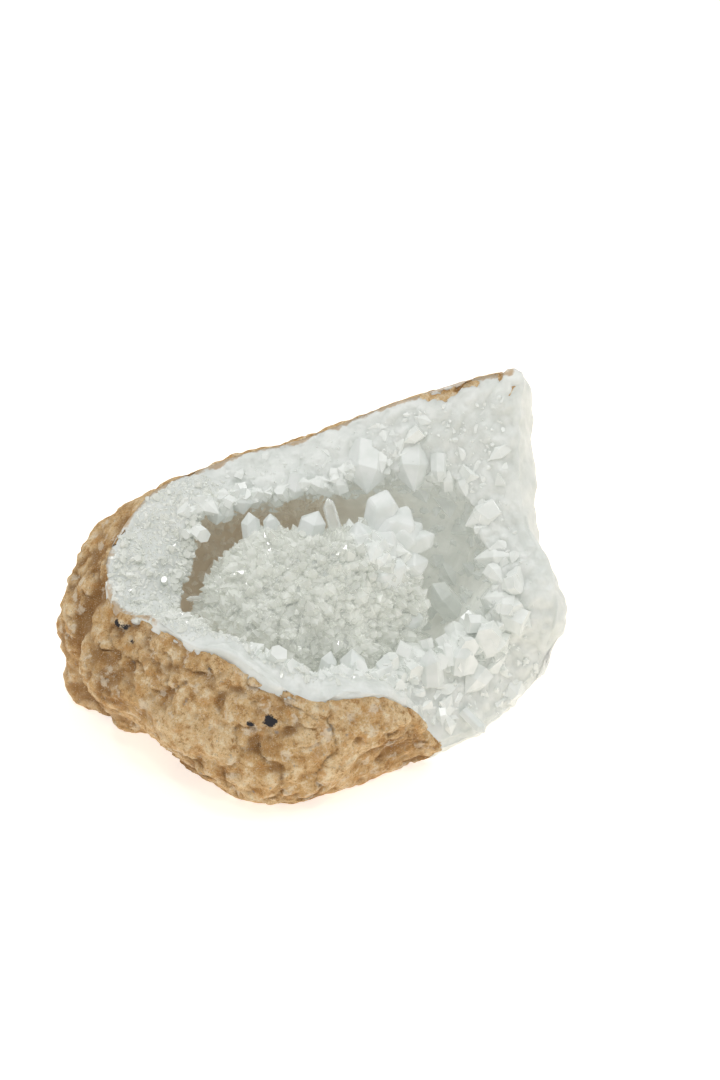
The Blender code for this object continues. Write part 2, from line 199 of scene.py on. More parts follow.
# For each section: the rim's x, y, z; how far the outside bulges past it, at what height, and
# the foot's share of that; how far the hollow's lip lies inside it, and its height; how far the
# hollow undercuts its lip, and at what height it is widest. All in mm.
RIM_HEIGHT, BULGE, BELLY_HEIGHT, FOOT, LIP_IN, LIP_HEIGHT, UNDERCUT, WIDEST_HEIGHT = range(2, 10)
SECTIONS = np.array([
    (54.8, 1.0, 28.8, 0.0, 20.0, 0.78, 13.4, 30.0, 0.5, 24.0),
    (53.2, 7.2, 35.4, 0.6, 22.0, 0.76, 12.1, 34.0, 0.5, 26.0),
    (48.4, 13.2, 40.4, 2.0, 24.0, 0.75, 9.7, 38.0, 1.5, 28.0),
    (46.2, 20.0, 51.2, 1.5, 30.0, 0.74, 10.5, 43.0, 3.0, 30.0),
    (46.6, 28.0, 64.7, -1.0, 38.0, 0.72, 15.6, 47.0, 5.0, 32.0),
    (47.4, 31.0, 70.2, -2.5, 42.0, 0.71, 18.0, 48.5, 6.0, 33.0),
    (41.5, 33.0, 68.6, 0.5, 38.0, 0.70, 18.0, 49.5, 7.0, 33.0),
    (31.0, 33.0, 65.8, 3.5, 33.0, 0.70, 16.5, 50.5, 8.5, 33.0),
    (19.7, 32.0, 62.4, 6.5, 28.0, 0.70, 13.5, 50.5, 10.0, 32.0),
    (7.2, 31.0, 57.0, 9.5, 26.0, 0.70, 12.0, 49.0, 12.5, 30.0),
    (-3.0, 29.0, 54.2, 11.5, 25.0, 0.70, 11.0, 47.7, 13.5, 29.0),
    (-13.0, 27.0, 52.0, 12.5, 26.0, 0.70, 10.7, 46.5, 14.5, 28.0),
    (-23.4, 24.0, 50.1, 12.5, 28.0, 0.72, 11.0, 45.7, 14.0, 28.0),
    (-36.6, 17.0, 47.2, 13.0, 31.0, 0.78, 13.0, 46.0, 14.0, 27.0),
    (-44.1, 8.0, 41.5, 11.2, 26.0, 0.84, 18.0, 40.0, 17.5, 25.0),
    (-46.2, -1.0, 37.6, 8.0, 20.0, 0.89, 18.0, 34.5, 15.5, 23.0),
    (-42.5, -9.0, 32.4, 6.0, 16.0, 0.88, 14.0, 31.0, 9.5, 21.0),
    (-34.9, -15.0, 35.2, 8.0, 17.0, 0.77, 10.0, 32.0, 8.5, 21.0),
    (-25.4, -24.0, 34.2, 8.5, 14.0, 0.84, 8.3, 32.5, 7.5, 20.5),
    (-17.5, -27.0, 35.0, 10.0, 11.0, 0.88, 7.6, 32.5, 7.5, 20.0),
    (-10.2, -31.0, 31.3, 8.5, 10.0, 0.89, 9.0, 30.0, 6.0, 19.0),
    (0.6, -32.0, 24.7, 6.5, 10.0, 0.88, 9.5, 26.0, 4.0, 18.0),
    (7.4, -30.0, 26.1, 5.5, 10.0, 0.87, 9.8, 25.0, 3.5, 17.0),
    (16.0, -28.0, 23.8, 2.5, 11.0, 0.82, 11.5, 23.0, 2.5, 16.0),
    (21.5, -25.0, 18.1, 1.5, 9.0, 0.84, 10.5, 22.0, 1.0, 15.0),
    (25.0, -23.8, 12.2, 1.0, 6.5, 0.86, 11.2, 21.7, 0.5, 14.5),
    (28.2, -21.5, 6.5, 0.5, 4.0, 0.88, 12.0, 21.5, 0.0, 14.0),
    (37.4, -14.0, 5.2, 0.0, 3.2, 0.86, 11.4, 21.7, 0.0, 14.0),
    (44.0, -6.5, 7.5, 0.0, 4.5, 0.84, 9.4, 22.5, 0.0, 15.0),
    (50.4, -3.0, 12.6, -0.5, 8.5, 0.80, 12.2, 23.5, 0.0, 17.0),
    (53.2, -2.0, 20.2, -0.5, 14.0, 0.78, 13.0, 27.0, 0.5, 21.0),
])
AXIS = np.array([0.0, 2.0])  # x, y of the upright line that every section starts from
SOLE = 2.5  # how far the sections run on below the floor, where the stone is worn flat
TO_ORIGIN = np.array([-0.03, -0.98, 0.0])  # from the tables' origin to the frame's

# Swellings (+) and dents (-) of the outside: x, y, z, radius and height.
LUMPS = np.array([
    (-45.9, -2.2, 36.9, 2.4, -2.0), (-47.9, -3.0, 32.5, 2.6, -3.6),
    (-49.8, -3.5, 27.7, 2.6, -4.2), (-50.6, -4.3, 23.6, 2.6, -4.2),
    (-51.2, -4.4, 19.6, 2.6, -4.4), (-51.4, -4.0, 15.6, 2.6, -4.4),
    (-51.2, -3.6, 11.6, 2.6, -4.6), (-50.4, -3.6, 7.6, 2.6, -4.6),
    (-48.6, -4.4, 3.8, 2.6, -4.4), (-46.0, -5.6, 1.4, 2.6, -3.4),
    (-54.0, 4.0, 13.0, 8.0, 2.6), (-51.0, 4.0, 4.0, 6.0, 4.4),
    (-49.0, -10.0, 18.0, 5.0, 1.4), (-47.0, -10.0, 9.0, 5.0, 1.6),
    (-44.0, -17.0, 18.0, 7.0, 2.5), (-30.0, -33.0, 15.0, 9.0, 1.0),
    (-14.0, -39.0, 9.0, 10.0, 1.2), (4.0, -35.0, 20.0, 8.0, 1.0),
    (15.0, -29.0, 8.0, 8.0, -1.2), (-55.0, 6.0, 20.0, 12.0, 0.6),
    (-35.0, 33.0, 30.0, 12.0, 1.6), (-10.0, 41.0, 22.0, 12.0, 1.2),
    (14.0, 41.0, 38.0, 10.0, 1.4), (36.0, 36.0, 30.0, 12.0, 1.8),
    (50.0, 14.0, 18.0, 9.0, -1.5),
])


def swell(points):
    """Low uneven swelling, in mm: a sum of slow waves across space."""
    x, y, z = np.moveaxis(points, -1, 0)
    return (
        0.55 * np.sin(0.21 * x + 0.13 * y + 1.1)
        + 0.45 * np.sin(0.29 * y - 0.17 * z + 2.3)
        + 0.40 * np.sin(0.33 * z + 0.11 * x + 0.4)
        + 0.25 * np.sin(0.47 * x - 0.38 * z + 3.0)
    )


def lumps_at(points, lumps):
    """Sum of bells: each lump's height times e to the minus squared distance over radius."""
    total = np.zeros(points.shape[:-1])
    for x, y, z, radius, height in lumps:
        away = ((points - (x, y, z)) ** 2).sum(axis=-1)
        total += height * np.exp(-away / radius**2)
    return total


def chance(cell, channel):
    """Numbers from 0 to 1 that look random, the same for the same whole-number cell."""
    x, y, z = np.moveaxis(cell.astype(np.int64), -1, 0)
    n = (x * 374761393 + y * 668265263 + z * 1274126177 + channel * 974634777) & 0xFFFFFFFF
    n = ((n ^ (n >> 13)) * 1103515245) & 0xFFFFFFFF
    n = ((n ^ (n >> 15)) * 668265263) & 0xFFFFFFFF
    return (n ^ (n >> 16)) / 2.0**32


def rough(points, size, channel=0):
    """Soft noise from -1 to 1: random values on a grid of this size, eased between corners."""
    at = points / size
    cell = np.floor(at).astype(np.int64)
    t = at - cell
    t = t * t * (3 - 2 * t)
    total = np.zeros(points.shape[:-1])
    for corner in np.ndindex(2, 2, 2):
        share = np.prod(np.where(corner, t, 1 - t), axis=-1)
        total += share * chance(cell + corner, channel)
    return 2 * total - 1


def layered(points, size, channel=0, layers=3):
    """Sum of rough() at this size and at each half of it, each layer half as high."""
    return sum(rough(points, size / 2**k, channel + k) / 2**k for k in range(layers))


def ease(value, low, high):
    """Rises smoothly from 0 at low to 1 at high."""
    t = np.clip((value - low) / (high - low), 0.0, 1.0)
    return t * t * (3 - 2 * t)


def window(s, first, last, soft=0.5):
    """1 where s is between first and last, going round past the last section, with soft ends."""
    half = (last - first) % len(SECTIONS) / 2
    away = np.abs((s - first - half + len(SECTIONS) / 2) % len(SECTIONS) - len(SECTIONS) / 2)
    return 1 - ease(away, half - soft, half + soft)


def section_at(s):
    """The section table at these places round the stone: a closed Catmull-Rom curve."""
    start = np.floor(s).astype(int)
    t = (s - start)[:, None]
    a, b, c, d = (SECTIONS[(start + k) % len(SECTIONS)] for k in (-1, 0, 1, 2))
    bend = (3 * b - a - 3 * c + d) * t**3 + (2 * a - 5 * b + 4 * c - d) * t**2
    return 0.5 * (bend + (c - a) * t + 2 * b)


def through(stops, at):
    """A Catmull-Rom curve through each column of stops, at positions counted in stops."""
    stops = np.array(stops)
    start = np.clip(np.floor(at).astype(int), 0, len(stops) - 2)
    column = np.arange(stops.shape[1])
    t = (at - start)[..., None]
    a, b, c, d = (
        stops[np.clip(start + k, 0, len(stops) - 1), column] for k in (-1, 0, 1, 2)
    )
    bend = (3 * b - a - 3 * c + d) * t**3 + (2 * a - 5 * b + 4 * c - d) * t**2
    return 0.5 * (bend + (c - a) * t + 2 * b)


def spoke_at(table):
    """The level direction from the axis to each column's rim, and how far the rim is."""
    spoke = table[:, :2] - AXIS
    reach = np.linalg.norm(spoke, axis=1)
    return spoke / reach[:, None], reach


def on_spoke(table, radius, height):
    """Points at this radius from the axis and this height, one on every column."""
    spoke, reach = spoke_at(table)
    flat = AXIS + spoke * np.broadcast_to(radius, reach.shape)[:, None]
    return np.column_stack([flat, np.broadcast_to(height, reach.shape)])


def normals_of(grid):
    """Unit normals of rings of points that run anticlockwise, and up on the outside."""
    normals = np.cross(
        np.roll(grid, -1, axis=1) - np.roll(grid, 1, axis=1), np.gradient(grid, axis=0)
    )
    for pole, beside in ((0, 1), (-1, -2)):
        if np.allclose(grid[pole], grid[pole, 0], atol=1e-6):
            normals[pole] = normals[beside].mean(axis=0)
    return normals / np.maximum(np.linalg.norm(normals, axis=-1, keepdims=True), 1e-12)


def outside(s, v):
    """The outside of the stone at columns s and rows v from 0 to 5, and the way inwards.

    Each section is a smooth curve from the middle of the base past the foot, the belly and
    the shoulder to the rim, then swelled and dented, less so near the rim and where the rim is
    low, and worn flat where it meets the floor.
    """
    table = section_at(s)
    _, reach = spoke_at(table)
    rim, belly = table[:, RIM_HEIGHT], table[:, BELLY_HEIGHT]
    bulge = reach + table[:, BULGE]
    foot = bulge * table[:, FOOT]
    shoulder = (reach + bulge) / 2 + 0.13 * (rim - belly)
    stops = [
        on_spoke(table, 0.0, -SOLE),
        on_spoke(table, 0.55 * foot, -SOLE),
        on_spoke(table, foot, -0.4),
        on_spoke(table, bulge, belly),
        on_spoke(table, shoulder, (rim + belly) / 2),
        table[:, :3],
    ]
    grid = through(stops, v)
    normals = normals_of(grid)
    fade = 0.35 + 0.65 * np.clip((5 - v) / 0.8, 0.0, 1.0)
    fade = fade * np.clip(rim / 25.0, 0.1, 1.0)
    grid = grid + normals * ((swell(grid) + lumps_at(grid, LUMPS)) * fade)[..., None]
    grid[..., 2] = np.maximum(grid[..., 2], 0.0)
    level = normals + 0.6 * (on_spoke(table, 1.0, 0.0) - on_spoke(table, 0.0, 0.0))
    level[..., 2] = 0.0
    level /= np.linalg.norm(level, axis=-1, keepdims=True)
    radius = np.linalg.norm(grid[..., :2] - AXIS, axis=-1)
    return grid, -level * np.clip(radius / 12.0, 0.0, 1.0)[..., None]


def sunk(grid, inwards, depth):
    """The same surface this far inside the stone, and as far above the floor."""
    deep = grid + inwards * np.asarray(depth)[..., None]
    deep[..., 2] = np.maximum(deep[..., 2], depth)
    return deep


def covered(s, v, points):
    """How far into the rind's cover a place on the outside is, in mm: less than 0 is bare.

    The cover ends at the bare quartz of the right end, and in scallops a little below the rim.
    """
    table = section_at(s)
    below_rim = np.linalg.norm(points - table[None, :, :3], axis=-1) * np.sign(5 - v)
    front = window(s, 15.0, 26.5)
    scallop = 1.4 * front - 0.9 + (0.8 + 1.0 * front) * rough(points, 8.0, 40)
    scallop = scallop + 0.45 * layered(points, 2.4, 41)
    ragged = 0.30 * rough(points, 6.0, 44) + 0.14 * layered(points, 1.8, 45)
    ends = np.minimum(s + ragged - 5.9, 26.15 + ragged - s) * 7.5
    return np.minimum(below_rim - scallop, ends)


def grid_mesh(name, grid, marks):
    """A closed mesh through rings of points, the first and last of which are single points.

    marks are numbers for every point, kept as attributes of the mesh.
    """
    rows, count = grid.shape[:2]
    index = 1 + np.arange((rows - 2) * count).reshape(rows - 2, count)
    low, high = index[:-1], index[1:]
    sides = np.stack([low, np.roll(low, -1, 1), np.roll(high, -1, 1), high], axis=-1)
    first, last = index[0], index[-1]
    foot = np.stack([np.zeros(count, int), np.roll(first, -1), first], axis=-1)
    top = np.stack([last, np.roll(last, -1), np.full(count, index.size + 1)], axis=-1)
    faces = [*foot.tolist(), *sides.reshape(-1, 4).tolist(), *top.tolist()]

    def once(values):
        inside = values[1:-1].reshape(-1, *values.shape[2:])
        return np.concatenate([values[:1, 0], inside, values[-1:, 0]])

    made = bpy.data.meshes.new(name)
    made.from_pydata((once(grid) + TO_ORIGIN) / 1000, [], faces)
    for mark, values in marks.items():
        made.attributes.new(mark, "FLOAT", "POINT").data.foreach_set("value", once(values))
    made.shade_smooth()
    return made


def add_piece(name, mesh, finish, slot, *nodes):
    """Puts the mesh in the scene as a piece of the stone that stands for these nodes."""
    piece = bpy.data.objects.new(name, mesh)
    mesh.materials.append(finish)
    bpy.context.scene.collection.objects.link(piece)
    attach(piece, "root")
    if nodes:
        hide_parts(*nodes)
    return piece


# Grains of black manganese: x, y, z, radius and strength.
BLACK_SPOTS = np.array([
    (-42.7, -10.6, 30.2, 1.25, 1.0), (-40.8, -12.4, 30.5, 1.1, 0.75),
    (-39.3, -15.5, 29.0, 1.0, 0.7), (-8.5, -36.8, 23.2, 1.5, 1.2),
    (-12.7, -37.2, 22.8, 1.1, 0.8), (-11.1, -39.0, 18.0, 1.0, 0.7),
    (-52.0, 9.0, 22.0, 1.4, 1.0), (-30.0, 36.0, 24.0, 1.5, 1.2),
    (12.0, 42.0, 30.0, 1.3, 1.0), (40.0, 36.0, 40.0, 1.4, 1.0),
    (-20.0, -36.5, 12.0, 1.0, 0.7), (-4.0, 43.0, 14.0, 1.2, 0.9),
])


def crease(points, size, width, channel):
    """1 along winding lines where a noise of this size passes through zero, 0 away from them."""
    return np.exp(-((layered(points, size, channel) / width) ** 2))


def rind_grid():
    """The rind: the outside with its relief, over the rim, and back deep inside the stone.

    The relief is craggy lumps, less two sizes of crease that come and go along the surface.
    Where the rind has flaked off, its skin dips into the quartz, and at the right end it is
    drawn towards the heart of the quartz wall.
    """
    columns = 480
    thickness, dip = 3.4, 2.0  # how deep the back lies, and how far the bare skin dips, in mm
    s = np.arange(columns) * len(SECTIONS) / columns
    under_foot, up_the_side = np.linspace(0, 2, 12, endpoint=False), np.linspace(2, 5, 158)
    v = np.concatenate([under_foot, up_the_side])[:, None]
    v = np.broadcast_to(v, (len(v), columns))
    skin, inwards = outside(s, v)
    cover = covered(s, v, skin)
    lumps = 0.9 * rough(skin, 9.0, 1) + 1.0 * np.abs(rough(skin, 4.6, 2))
    lumps = lumps + 0.62 * layered(skin, 2.2, 3)
    creases = crease(skin, 8.5, 0.09, 6) * ease(rough(skin, 14.0, 9), -0.5, 0.2)
    small = crease(skin, 4.0, 0.10, 10) * ease(rough(skin, 9.0, 13), -0.1, 0.4)
    relief = (lumps - 0.9 * creases - 0.5 * small - 0.45) * ease(v, 1.6, 2.4)
    bare = dip * (1 - ease(cover, -0.5, 0.5))
    outer = sunk(skin, inwards, bare - relief * np.clip(1 - 0.5 * bare, 0, 1))
    outer[..., 2] -= 1.5 * bare * ease(v, 4.6, 5.0)
    edge = skin[-1:] + inwards[-1:] * (bare[-1:] + 0.6)[..., None]
    edge[..., 2] -= 1.5 * bare[-1:]
    under = edge + inwards[-1:] * 1.2 - (0.0, 0.0, 1.8)
    back = slice(None, None, -14)
    inner = sunk(skin, inwards, np.full(v.shape, thickness))
    inner[..., 2] = np.maximum(inner[..., 2] - 6.0 * ease(v, 4.4, 5.0), thickness)
    inner = np.concatenate([inner[back], inner[:1]])
    grid = np.concatenate([outer, edge, under, inner])
    table = section_at(s)
    heart_reach = spoke_at(table)[1] - 0.5 * table[:, LIP_IN]
    heart = on_spoke(table, heart_reach, 0.4 * table[:, RIM_HEIGHT])
    rows = np.concatenate([v, v[-1:], v[-1:], v[back], v[:1]])
    pull = 0.65 * window(s, 27.9, 35.3, 0.7) * ease(rows, 1.5, 2.6)
    grid += pull[..., None] * (heart - grid)
    grid[..., 2] = np.maximum(grid[..., 2], 0.0)
    spots = lumps_at(skin, BLACK_SPOTS) + 0.25 * rough(skin, 0.9, 14)
    # The dents of the outside go into the relief mark too, so that the painted shade darkens them.
    relief = relief + 0.45 * np.minimum(lumps_at(skin, LUMPS), 0)
    none = np.zeros((len(grid) - len(relief), columns))
    marks = {"relief": np.concatenate([relief, none]), "black": np.concatenate([spots, none])}
    return grid, marks


rind_look, place = look("sandy rind")
relief = place.add("Attribute", {"attribute_name": "relief"}, out=2)
black = place.add("Attribute", {"attribute_name": "black"}, out=2)
patches = place.noise(0.14, 4.0, 0.6)
grit = place.noise(2.8, 2.0, 0.7)
mottle = place.noise(0.42, 6.0, 0.78)
body = patches.step(0.36, 0.64).tint((0.660, 0.430, 0.195), (0.800, 0.590, 0.330))
body = mottle.step(0.50, 0.36).tint(body, (0.430, 0.235, 0.085))
body = (mottle.step(0.50, 0.64) * 0.85).tint(body, (0.920, 0.790, 0.560))
orange = place.noise(0.30, 3.0, 0.6).step(0.50, 0.66) * 0.6
body = orange.tint(body, (0.560, 0.290, 0.090))
# Painted shade: where the relief is low, in the creases, pits and dents, the rind is painted a
# darker brown.
painted_crease_shade = (0.0 - relief + 1.2 * (mottle - 0.5)).step(0.0, 1.25)
body = (painted_crease_shade * 0.85).tint(body, (0.290, 0.145, 0.045))
cream = (place.cells(0.21) + 0.9 * (place.noise(1.1) - 0.5)).step(0.32, 0.10) * 0.6
body = cream.tint(body, (0.840, 0.740, 0.580))
speck = grit.step(0.58, 0.70) * 0.6
body = speck.tint(body, (0.230, 0.135, 0.060))
sand = place.noise(3.6, 1.0, 0.5).step(0.60, 0.72) * 0.5
body = sand.tint(body, (0.850, 0.740, 0.560))
grey = place.noise(0.5, 2.0, 0.5).step(0.66, 0.76) * 0.6
body = grey.tint(body, (0.330, 0.320, 0.310))
body = (black + 0.8 * (grit - 0.5)).step(0.42, 0.66).tint(body, (0.035, 0.035, 0.040))
shade_with(rind_look, {
    "Base Color": body,
    "Roughness": 0.92,
    "IOR": 1.35,
    "Normal": place.add("Bump", {}, {"Strength": 1.0, "Distance": 0.0009,
                                     "Height": grit * 0.3 + mottle}),
})
grid, marks = rind_grid()
add_piece("rind_skin", grid_mesh("rind_skin", grid, marks), rind_look, "sandy_rind", "rind")

# ---- Quartz wall ----
# The thick white quartz that lines the nodule: broken across at the rim, bare on the outside at
# the right, and grown over with crystals in the hollow. The rind grew fast to its outside.
FLOOR_OF_HOLLOW = 9.5  # height of the hollow's floor, mm


def faceted(points, size, channel=0):
    """Crystal-like bumps from 0 to about 1. Round random centres one size apart, the height
    falls with the largest of four slanted distances, so each bump is a small flat-sided point.
    """
    at = points / size
    cell = np.floor(at).astype(np.int64)
    best = np.full(points.shape[:-1], 9.0)
    for offset in np.ndindex(3, 3, 3):
        near = cell + offset - 1
        centre = near + np.stack([chance(near, channel + k) for k in range(3)], axis=-1)
        away = at - centre
        reach = np.zeros(points.shape[:-1])
        for k in range(4):
            turn = 2 * pi * (chance(near, channel + 3) + k / 4)
            tilt = chance(near, channel + 4 + k) - 0.5
            side = away[..., 0] * np.cos(turn) + away[..., 1] * np.sin(turn)
            reach = np.maximum(reach, np.abs(side + 2.0 * tilt * away[..., 2]))
        best = np.minimum(best, np.maximum(reach, 0.8 * np.abs(away[..., 2])))
    return 1 - best


def wall_grid():
    """The quartz wall: its outside, its broken face and the hollow, with marks for its finish.

    The broken face and the hollow are smooth curves from the rim to the lip and on to the
    hollow's floor, roughened along their normals by crystal-like bumps of several sizes. The
    marks say where the hollow is painted brown, partly for its brown lining and partly as
    painted shade, where the rim is, and how deep a place lies.
    """
    columns = 680
    s = np.arange(columns) * len(SECTIONS) / columns
    table = section_at(s)
    under_foot, up_the_side = np.linspace(0, 2, 5, endpoint=False), np.linspace(2, 5, 40)
    v_out = np.concatenate([under_foot, up_the_side])[:, None]
    v_out = np.broadcast_to(v_out, (len(v_out), columns))
    outer, inwards = outside(s, v_out)
    cover = covered(s, v_out, outer)
    outer = sunk(outer, inwards, 0.6 * ease(cover, -0.4, 0.8) + 1.4 * ease(cover, 1.5, 4.0))

    _, reach = spoke_at(table)
    lip_reach, lip_height = reach - table[:, LIP_IN], table[:, LIP_HEIGHT]
    lip = on_spoke(table, lip_reach, lip_height)
    jag = layered(lip, 2.6, 20)
    lip = on_spoke(table, lip_reach + 0.7 * jag, lip_height + 0.5 * rough(lip, 1.7, 24))
    t = np.broadcast_to(np.linspace(0, 1, 50)[1:-1, None], (48, columns))
    centre = (outer[-1] + lip) / 2 + (0.0, 0.0, 0.8)
    face = through([outer[-1], centre, lip], 2 * t)
    face[..., 2] += 0.6 * swell(face * 1.7) * np.minimum(4 * t, 4 - 4 * t).clip(0, 1)

    widest = lip_reach + table[:, UNDERCUT]
    stops = [
        lip,
        on_spoke(table, widest, table[:, WIDEST_HEIGHT]),
        on_spoke(table, 0.72 * widest, FLOOR_OF_HOLLOW + 2.0),
        on_spoke(table, 0.0, FLOOR_OF_HOLLOW),
    ]
    deep = np.linspace(0, 1, 50)[:, None] ** 1.15
    down = np.broadcast_to(3 * deep, (len(deep), columns))
    hollow = through(stops, down)

    grid = np.concatenate([outer, face, hollow])
    v = np.concatenate([v_out, 5 + t, 6 + down])
    where = np.broadcast_to(s, v.shape)
    normals = normals_of(grid)
    free = ease(v, 5.02, 5.15) * ease(9 - v, 0.0, 0.4)
    smooth_front = window(where, 14.8, 23.5, 0.8) * (1 - ease(v, 5.55, 5.95))
    fine_left = window(where, 12.6, 17.4, 0.8)
    coarse = 1 - np.maximum(smooth_front, 0.65 * fine_left)
    bumps = 1.3 * (faceted(grid, 5.4, 5) - 0.45) + 0.7 * (faceted(grid, 2.4, 15) - 0.45)
    bumps = bumps * coarse + 0.45 * layered(grid, 3.0, 25)
    bumps = bumps + 0.35 * smooth_front * faceted(grid, 1.9, 26)
    bare = 1 - ease(cover, -1.0, 0.2)
    bare = np.concatenate([bare, np.zeros((len(grid) - len(bare), columns))])
    broken = 0.5 * layered(grid, 4.4, 27) + 1.5 * (faceted(grid, 7.0, 28) - 0.5)
    broken += 0.5 * (faceted(grid, 2.8, 36) - 0.5)
    height = bumps * free + bare * broken * ease(v, 1.5, 2.5)
    grid = grid + normals * height[..., None]
    grid[..., 2] = np.maximum(grid[..., 2], 0.0)
    from_rim = np.linalg.norm(grid - table[None, :, :3], axis=-1)
    # Painted shade: the hollow at the left and back is marked to be painted brown, partly for its
    # brown lining and partly for the shade that falls in it.
    brown_stain_and_shade = ease(v, 6.02, 6.9) * window(where, 9.0, 18.5, 2.5)
    edge = np.where(v < 4.5, 0.0, 1 - ease(from_rim, 0.0, 5.0)) * window(where, 5.0, 17.5, 1.0)
    marks = {"brown_stain_and_shade": brown_stain_and_shade, "edge": edge, "deep": ease(v, 5.9, 6.8)}
    return grid, v, where, marks


quartz_look, place = look("milky quartz")
# The brown mark is the hollow's brown lining together with painted shade, made patchy by noise.
brown_stain_and_shade = place.add("Attribute", {"attribute_name": "brown_stain_and_shade"}, out=2)
brown_stain_and_shade = brown_stain_and_shade * (0.55 + 0.9 * place.noise(0.12, 3.0, 0.6))
deep = place.add("Attribute", {"attribute_name": "deep"}, out=2)
edge = place.add("Attribute", {"attribute_name": "edge"}, out=2)
cloud = place.noise(0.22, 3.0, 0.55)
white = cloud.step(0.35, 0.65).tint((0.675, 0.705, 0.665), (0.768, 0.792, 0.755))
# Painted shade: the quartz goes brown where the hollow is marked, partly lining and partly shade.
white = brown_stain_and_shade.tint(white, (0.560, 0.470, 0.350))
stain = (edge + 0.9 * (cloud - 0.5) + 0.7 * (place.noise(0.55) - 0.5)).step(0.72, 0.95)
white = (stain * 0.8).tint(white, (0.430, 0.270, 0.110))
# Painted light: the quartz glows a little at the rim and most deep in the hollow, lifting its
# shade, and glows browner where the hollow is painted brown.
glow = deep.tint((0.12, 0.12, 0.12), (0.68, 0.66, 0.60))
glow = brown_stain_and_shade.tint(glow, (0.42, 0.355, 0.265))
shade_with(quartz_look, {
    "Base Color": white,
    "Emission Color": glow,
    "Emission Strength": 0.22,
    "Roughness": 0.38,
    "IOR": 1.54,
    "Subsurface Weight": 0.5,
    "Subsurface Radius": (1.0, 1.0, 1.0),
    "Subsurface Scale": 0.003,
    "Normal": place.add("Bump", {}, {"Strength": 0.5, "Distance": 0.0002,
                                     "Height": place.noise(1.6, 3.0, 0.6)}),
})
wall, wall_v, wall_s, marks = wall_grid()
add_piece("quartz_body", grid_mesh("quartz_body", wall, marks), quartz_look, "milky_quartz",
          "quartz_wall")
wall_normals = normals_of(wall)

# ---- Crystals on the wall ----
# Small quartz points that grew out of the wall: fine druse at the left, coarser on the
# roof's edge and the top right, blocks on the right wall and on the broken front.


def crystals(roots, ways, lengths, widths, seed, point=0.62):
    """Six-sided prisms with pointed ends, one for each root, all in one mesh's arrays.

    Corner k of a prism lies at about k sixths of a turn round its axis, half a width from it. Its
    shoulder lies about point times the width below the tip, lower on every other face.
    """
    rng = np.random.default_rng(seed)
    count = len(roots)
    side = np.cross(ways, rng.normal(size=(count, 3)))
    side /= np.linalg.norm(side, axis=1, keepdims=True)
    other = np.cross(ways, side)
    turn = np.arange(6) * pi / 3 + rng.uniform(-0.10, 0.10, (count, 6))
    ray = np.cos(turn)[..., None] * side[:, None] + np.sin(turn)[..., None] * other[:, None]
    ray = ray * (0.5 * widths[:, None] * rng.uniform(0.86, 1.08, (count, 6)))[..., None]
    uneven = point + 0.12 * (np.arange(6) % 2 - 0.5) + rng.uniform(-0.12, 0.12, (count, 6))
    drop = np.minimum(widths[:, None] * uneven, 0.8 * lengths[:, None])
    foot = roots[:, None] + ray
    shoulder = foot + ways[:, None] * (lengths[:, None] - drop)[..., None] - 0.06 * ray
    lean = side * (widths * rng.uniform(-0.10, 0.10, count))[:, None]
    tip = (roots + ways * lengths[:, None] + lean)[:, None]
    points = np.concatenate([foot, shoulder, tip], axis=1)
    k, after = np.arange(6), (np.arange(6) + 1) % 6
    sides = np.stack([k, after, after + 6, k + 6], axis=-1)
    ends = np.stack([k + 6, after + 6, np.full(6, 12)], axis=-1)
    start = 13 * np.arange(count)[:, None, None]
    base = 13 * np.arange(count)[:, None] + k[::-1]
    faces = [
        *(start + sides).reshape(-1, 4).tolist(),
        *(start + ends).reshape(-1, 3).tolist(),
        *base.tolist(),
    ]
    return points.reshape(-1, 3), faces


def crystal_mesh(name, points, faces):
    """A flat-faced mesh of crystals given in the stone's millimetres."""
    made = bpy.data.meshes.new(name)
    made.from_pydata((points + TO_ORIGIN) / 1000, [], faces)
    return made


def scatter(grid, normals, weight, spacing, seed):
    """Places on a grid of points, at random but about one spacing apart, and their normals.

    Cells are drawn in proportion to their area and weight. Of the places drawn in one cube
    of the spacing's size, only the first is kept.
    """
    rng = np.random.default_rng(seed)
    count = grid.shape[1]
    across = np.roll(grid, -1, axis=1)[:-1] - grid[:-1]
    along = grid[1:] - grid[:-1]
    area = np.linalg.norm(np.cross(across, along), axis=-1) * weight[:-1]
    draws = int(6 * area.sum() / spacing**2)
    pick = rng.choice(area.size, draws, p=(area / area.sum()).ravel())
    row, column = np.divmod(pick, count)
    a, b = rng.uniform(size=(2, draws, 1))
    place = grid[row, column] + a * across[row, column] + b * along[row, column]
    _, kept = np.unique(np.floor(place / spacing).astype(int), axis=0, return_index=True)
    return place[kept], normals[row[kept], column[kept]]


def leaning(normals, amount, rng):
    """These directions, each turned a random way by about this much."""
    ways = normals + amount * rng.normal(size=normals.shape)
    return ways / np.linalg.norm(ways, axis=1, keepdims=True)


def druse(name, grid, normals, weight, spacing, width, rise, lean, seed, slot, finish):
    """Crystals that crowd a surface: their width and rise above it are (least, most) in mm.

    Each one goes down into the surface by its own width, so that neighbours merge.
    """
    rng = np.random.default_rng(seed + 1000)
    roots, ways = scatter(grid, normals, weight, spacing, seed)
    ways = leaning(ways, lean, rng)
    size = rng.uniform(size=len(roots)) ** 2
    widths = width[0] + (width[1] - width[0]) * size
    share = 0.6 * size + 0.4 * rng.uniform(size=len(roots))
    lengths = widths + rise[0] + (rise[1] - rise[0]) * share
    points, faces = crystals(roots - ways * widths[:, None], ways, lengths, widths, seed)
    add_piece(name, crystal_mesh(name, points, faces), finish, slot)


